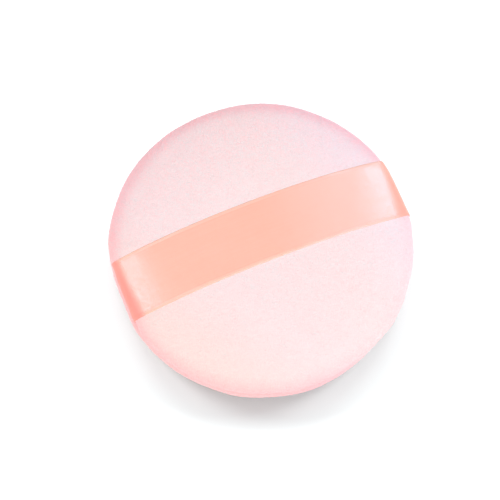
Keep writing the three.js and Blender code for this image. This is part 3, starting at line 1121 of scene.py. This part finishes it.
# Softboxes: name, name of its power in the stage's values, side in metres, azimuth and elevation in
# degrees, distance in metres and colour
SOFTBOXES = (
    ("front_softbox", "front", 0.7, -60, 52, 0.7, WHITE),
    ("right_softbox", "key", 0.08, 20, 32, 0.6, (0.74, 0.8, 1.0)),
    ("left_softbox", "fill", 0.08, 157, 44, 0.6, (0.9, 0.88, 1.0)),
    ("low_softbox", "low", 0.5, 192, 14, 0.7, WHITE),
)

# Distant lamps for the floor: how far to the right and behind for a height of 1, and their shares
FLOOR_LIGHTS = ((-1.2, 0.8, 0.3), (-0.35, 1.1, 0.2), (0.35, 1.1, 0.2), (1.2, 0.8, 0.3))
FLOOR_LIGHT_WIDTH = math.radians(24)

# How far the camera stands to the left of the middle and below it
VIEW_LEFT, VIEW_DOWN = 3.2 * MM, 1.07 * MM


def add_lamp(light, way, where):
    """A lamp at a place, shining back along a way."""
    lamp = add_object(light.name, light)
    lamp.location = where
    lamp.rotation_mode = "QUATERNION"
    lamp.rotation_quaternion = way.to_track_quat("Z", "Y")
    return lamp


def gathered(name, objects):
    """A collection of objects that lamps are linked to."""
    collection = bpy.data.collections.new(name)
    for item in objects:
        collection.objects.link(item)
    return collection


def white_floor():
    """A wide white floor that keeps the puff's shadow and looks white where none falls."""
    corners = [(x * FLOOR_REACH, y * FLOOR_REACH, 0) for x, y in ((-1, -1), (1, -1), (1, 1), (-1, 1))]
    floor = add_mesh("floor", corners, [(0, 1, 2, 3)])
    floor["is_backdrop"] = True
    paper, graph = new_material("white_paper", (0.9, 0.9, 0.9))
    bounce = graph.add("ShaderNodeBsdfDiffuse", {}, {"Color": FLOOR_BOUNCE})
    glow = graph.add("ShaderNodeEmission", {}, {"Color": WHITE, "Strength": FLOOR_GLOW})
    veiled = graph.add("ShaderNodeBsdfDiffuse", {}, {"Color": FLOOR_SEEN})
    seen = graph.add("ShaderNodeAddShader", {}, {0: veiled, 1: glow})
    graph.finish_backdrop("ShaderNodeOutputMaterial", bounce, seen)
    floor.data.materials.append(paper)
    return floor


def studio_world(ambient):
    """A world that looks white and lights the puff evenly."""
    world = bpy.data.worlds.new("studio")
    world.use_nodes = True
    graph = Graph(world.node_tree)
    dim = graph.add("ShaderNodeBackground", {}, {"Color": WHITE, "Strength": ambient})
    white = graph.add("ShaderNodeBackground", {}, {"Color": WHITE, "Strength": 1.0})
    graph.finish_backdrop("ShaderNodeOutputWorld", dim, white)
    return world


def add_softboxes(stage, target):
    """The softboxes: they light the puff alone, and the ribbon throws no shadow in them."""
    lit = gathered("lit_puff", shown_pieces())
    casting = gathered("cast_shadows", [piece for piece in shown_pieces() if piece.name != "satin_ribbon"])
    for name, power, side, azimuth, elevation, distance, color in SOFTBOXES:
        light = bpy.data.lights.new(name, "AREA")
        light.energy, light.size, light.color = getattr(stage, power), side, color
        a, e = math.radians(azimuth), math.radians(elevation)
        way = Vector((math.cos(a) * math.cos(e), math.sin(a) * math.cos(e), math.sin(e)))
        lamp = add_lamp(light, way, target + way * distance)
        # the low softbox would turn the satin's crest white when it is seen along the ribbon
        lamp.visible_glossy = power != "low"
        lamp.light_linking.receiver_collection = lit
        lamp.light_linking.blocker_collection = casting


def add_floor_lights(stage, floor):
    """A row of distant lamps behind the puff that spreads its shadow to both sides."""
    lit = gathered("lit_floor", [floor])
    behind = Vector((-math.sin(stage.azimuth), math.cos(stage.azimuth), 0))
    beside = Vector((math.cos(stage.azimuth), math.sin(stage.azimuth), 0))
    for i, (across, back, share) in enumerate(FLOOR_LIGHTS):
        light = bpy.data.lights.new(f"floor_light_{i}", "SUN")
        way = beside * across + behind * back + Vector((0, 0, 1))
        light.energy = stage.floor * share * way.length
        light.angle = FLOOR_LIGHT_WIDTH
        add_lamp(light, way, (0, 0, 0)).light_linking.receiver_collection = lit


def add_camera(stage, target):
    """The camera, looking down at the puff from the stage's angles."""
    camera = bpy.data.cameras.new("camera")
    camera.lens, camera.sensor_width = 100, 36
    camera.clip_start, camera.clip_end = 0.01, 20
    view = add_object("camera", camera)
    a, e = stage.azimuth, stage.elevation
    back = Vector((math.sin(a) * math.cos(e), -math.cos(a) * math.cos(e), math.sin(e)))
    right = Vector((math.cos(a), math.sin(a), 0))
    up = back.cross(right)
    c, s = math.cos(stage.roll), math.sin(stage.roll)
    right, up = right * c + up * s, up * c - right * s
    view.location = target + back * stage.distance - right * VIEW_LEFT - up * VIEW_DOWN
    view.rotation_mode = "QUATERNION"
    view.rotation_quaternion = Matrix((right, up, back)).transposed().to_quaternion()
    return view


class PUFF_OT_stage(bpy.types.Operator):
    """Makes the white floor, the world, the lamps and the camera"""

    bl_idname = "puff.stage"
    bl_label = "Stage"

    def execute(self, context):
        scene, stage = context.scene, context.scene.puff_stage
        target = Vector((0, 0, SEAM_HEIGHT))
        scene.view_settings.view_transform = "Standard"
        floor = white_floor()
        scene.world = studio_world(stage.ambient)
        add_softboxes(stage, target)
        add_floor_lights(stage, floor)
        scene.camera = add_camera(stage, target)
        return {"FINISHED"}


# Add-on


class PUFF_PT_panel(bpy.types.Panel):
    bl_label = "Powder Puff"
    bl_space_type = "VIEW_3D"
    bl_region_type = "UI"
    bl_category = "Powder Puff"

    def draw(self, context):
        layout = self.layout
        for group in GROUPS:
            values = getattr(context.scene, group)
            box = layout.box()
            for name in values.__annotations__:
                box.prop(values, name)
        for operator in OPERATORS:
            layout.operator(operator.bl_idname)


OPERATORS = (PUFF_OT_velour_faces, PUFF_OT_wadding, PUFF_OT_ribbon, PUFF_OT_threads, PUFF_OT_stage)
GROUPS = {"puff_sizes": PuffSizes, "puff_colors": PuffColors, "puff_stage": PuffStage}


def register():
    for cls in (*GROUPS.values(), *OPERATORS, PUFF_PT_panel):
        bpy.utils.register_class(cls)
    for name, group in GROUPS.items():
        setattr(bpy.types.Scene, name, PointerProperty(type=group))


def unregister():
    for name in GROUPS:
        delattr(bpy.types.Scene, name)
    for cls in reversed((*GROUPS.values(), *OPERATORS, PUFF_PT_panel)):
        bpy.utils.unregister_class(cls)


def main():
    register()
    bpy.ops.puff.velour_faces()
    bpy.ops.puff.wadding()
    bpy.ops.puff.ribbon()
    bpy.ops.puff.threads()
    bpy.ops.puff.stage()
    bpy.context.view_layer.update()


if __name__ == "__main__":
    main()
